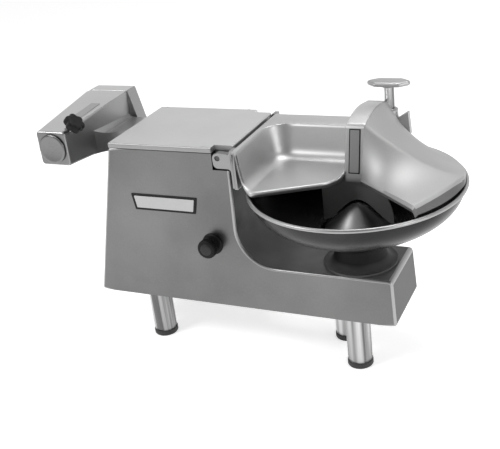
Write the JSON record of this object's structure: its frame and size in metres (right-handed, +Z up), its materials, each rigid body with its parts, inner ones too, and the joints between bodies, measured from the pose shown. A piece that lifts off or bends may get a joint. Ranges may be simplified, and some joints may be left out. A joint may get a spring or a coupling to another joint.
{
  "type": "food cutter",
  "caption": "Table-top bowl food cutter: housing with a low arm, turning bowl, two knives in a hinged bowl cover, lock knob, pull switch and an attachment hub.",
  "frame": {"origin": "centre of the bounding box's footprint, on the surface that the feet stand on", "axes": "+X along the machine to the operator's right, +Y away from the operator, +Z up"},
  "size_m": [0.9926, 0.4572, 0.5755],
  "materials": {
    "cast_aluminium": "ground and polished casting",
    "lid_aluminium": "brushed",
    "stainless": "spun and polished",
    "leg_steel": "polished tube",
    "dark_rubber": "matt",
    "black_plastic": "moulded",
    "badge_metal": "satin with a black border",
    "machine_steel": "machined",
    "motor_paint": "satin",
    "bronze": "machined",
    "belt_rubber": "matt",
    "guard_metal": "dull cast"
  },
  "bodies": {
    "root": {"base_casting": "cast_aluminium", "housing_lid": "lid_aluminium", "bottom_cover": "lid_aluminium", "leg_tubes": "leg_steel", "foot_tips": "dark_rubber", "badge_plate": "badge_metal", "switch_bezel": "black_plastic", "hinge_pins": "machine_steel", "bowl_pedestal": "cast_aluminium", "bowl_bearing": "machine_steel", "worm_bearings": "machine_steel", "motor_stator": "motor_paint", "drive_belt": "belt_rubber", "shaft_bearings": "machine_steel", "hub_casing": "cast_aluminium", "hub_rear_cover": "cast_aluminium", "hub_bushing": "bronze", "hub_label_plate": "badge_metal", "lid_screws": "machine_steel", "bottom_screws": "machine_steel"},
    "switch": {"switch_knob": "black_plastic"},
    "bowl_unit": {"bowl": "stainless", "bowl_spindle": "machine_steel", "worm_wheel": "bronze"},
    "worm_unit": {"worm_shaft": "machine_steel"},
    "rotor": {"motor_rotor": "machine_steel", "motor_pulley": "machine_steel"},
    "knives": {"knife_shaft": "machine_steel", "knife_pulley": "machine_steel", "knife_hub": "machine_steel", "knife_nut": "machine_steel", "inner_knife": "machine_steel", "outer_knife": "machine_steel"},
    "cover": {"bowl_cover": "cast_aluminium", "hinge_arms": "cast_aluminium", "guard_plate": "guard_metal", "cover_label_plate": "badge_metal", "stem_bushing": "bronze"},
    "cover_lock": {"lock_stem": "leg_steel", "lock_knob": "lid_aluminium"},
    "hub_drive": {"hub_spindle": "machine_steel"},
    "hub_cross": {"hub_cross_shaft": "machine_steel"},
    "hub_cap": {"hub_cover": "lid_aluminium"},
    "thumb": {"thumb_screw": "black_plastic"}
  },
  "joints": [
    {"name": "motor_spin", "type": "hinge", "parent": "root", "child": "rotor", "pos_m": [-0.1323, 0.058, 0.275], "axis": [1, 0, 0], "continuous": true},
    {"name": "knife_spin", "type": "hinge", "parent": "root", "child": "knives", "pos_m": [0.1677, 0.11796, 0.426], "axis": [1, 0, 0], "continuous": true},
    {"name": "worm_spin", "type": "hinge", "parent": "root", "child": "worm_unit", "pos_m": [0.2677, 0.05633, 0.177], "axis": [1, 0, 0], "continuous": true},
    {"name": "bowl_spin", "type": "hinge", "parent": "root", "child": "bowl_unit", "pos_m": [0.2677, 0, 0.3], "axis": [0, 0, 1], "continuous": true},
    {"name": "hub_cross_spin", "type": "hinge", "parent": "root", "child": "hub_cross", "pos_m": [-0.4323, 0.121, 0.449], "axis": [1, 0, 0], "continuous": true},
    {"name": "hub_spin", "type": "hinge", "parent": "root", "child": "hub_drive", "pos_m": [-0.4343, 0.05, 0.477], "axis": [0, 1, 0], "continuous": true},
    {"name": "cover_hinge", "type": "hinge", "parent": "root", "child": "cover", "pos_m": [-0.0123, 0, 0.475], "axis": [0, -1, 0], "range_deg": [0, 95]},
    {"name": "lock_turn", "type": "hinge", "parent": "cover", "child": "cover_lock", "pos_m": [0.2937, 0.17773, 0.5], "axis": [0, 0, 1], "range_deg": [0, 90]},
    {"name": "switch_pull", "type": "slide", "parent": "root", "child": "switch", "axis": [0, -0.9988, 0.0499], "range_m": [0, 0.008]},
    {"name": "hub_cover_off", "type": "slide", "parent": "root", "child": "hub_cap", "axis": [0, -1, 0], "range_m": [0, 0.3]},
    {"name": "thumb_turn", "type": "hinge", "parent": "root", "child": "thumb", "pos_m": [-0.4343, -0.043, 0.477], "axis": [0.7071, 0, 0.7071], "range_deg": [-180, 180]}
  ],
  "couplings": [
    {"joint": "knife_spin", "follows": "motor_spin", "ratio": 1},
    {"joint": "worm_spin", "follows": "motor_spin", "ratio": 0.38534},
    {"joint": "bowl_spin", "follows": "motor_spin", "ratio": 0.009634},
    {"joint": "hub_cross_spin", "follows": "motor_spin", "ratio": 0.2},
    {"joint": "hub_spin", "follows": "motor_spin", "ratio": 0.2}
  ]
}
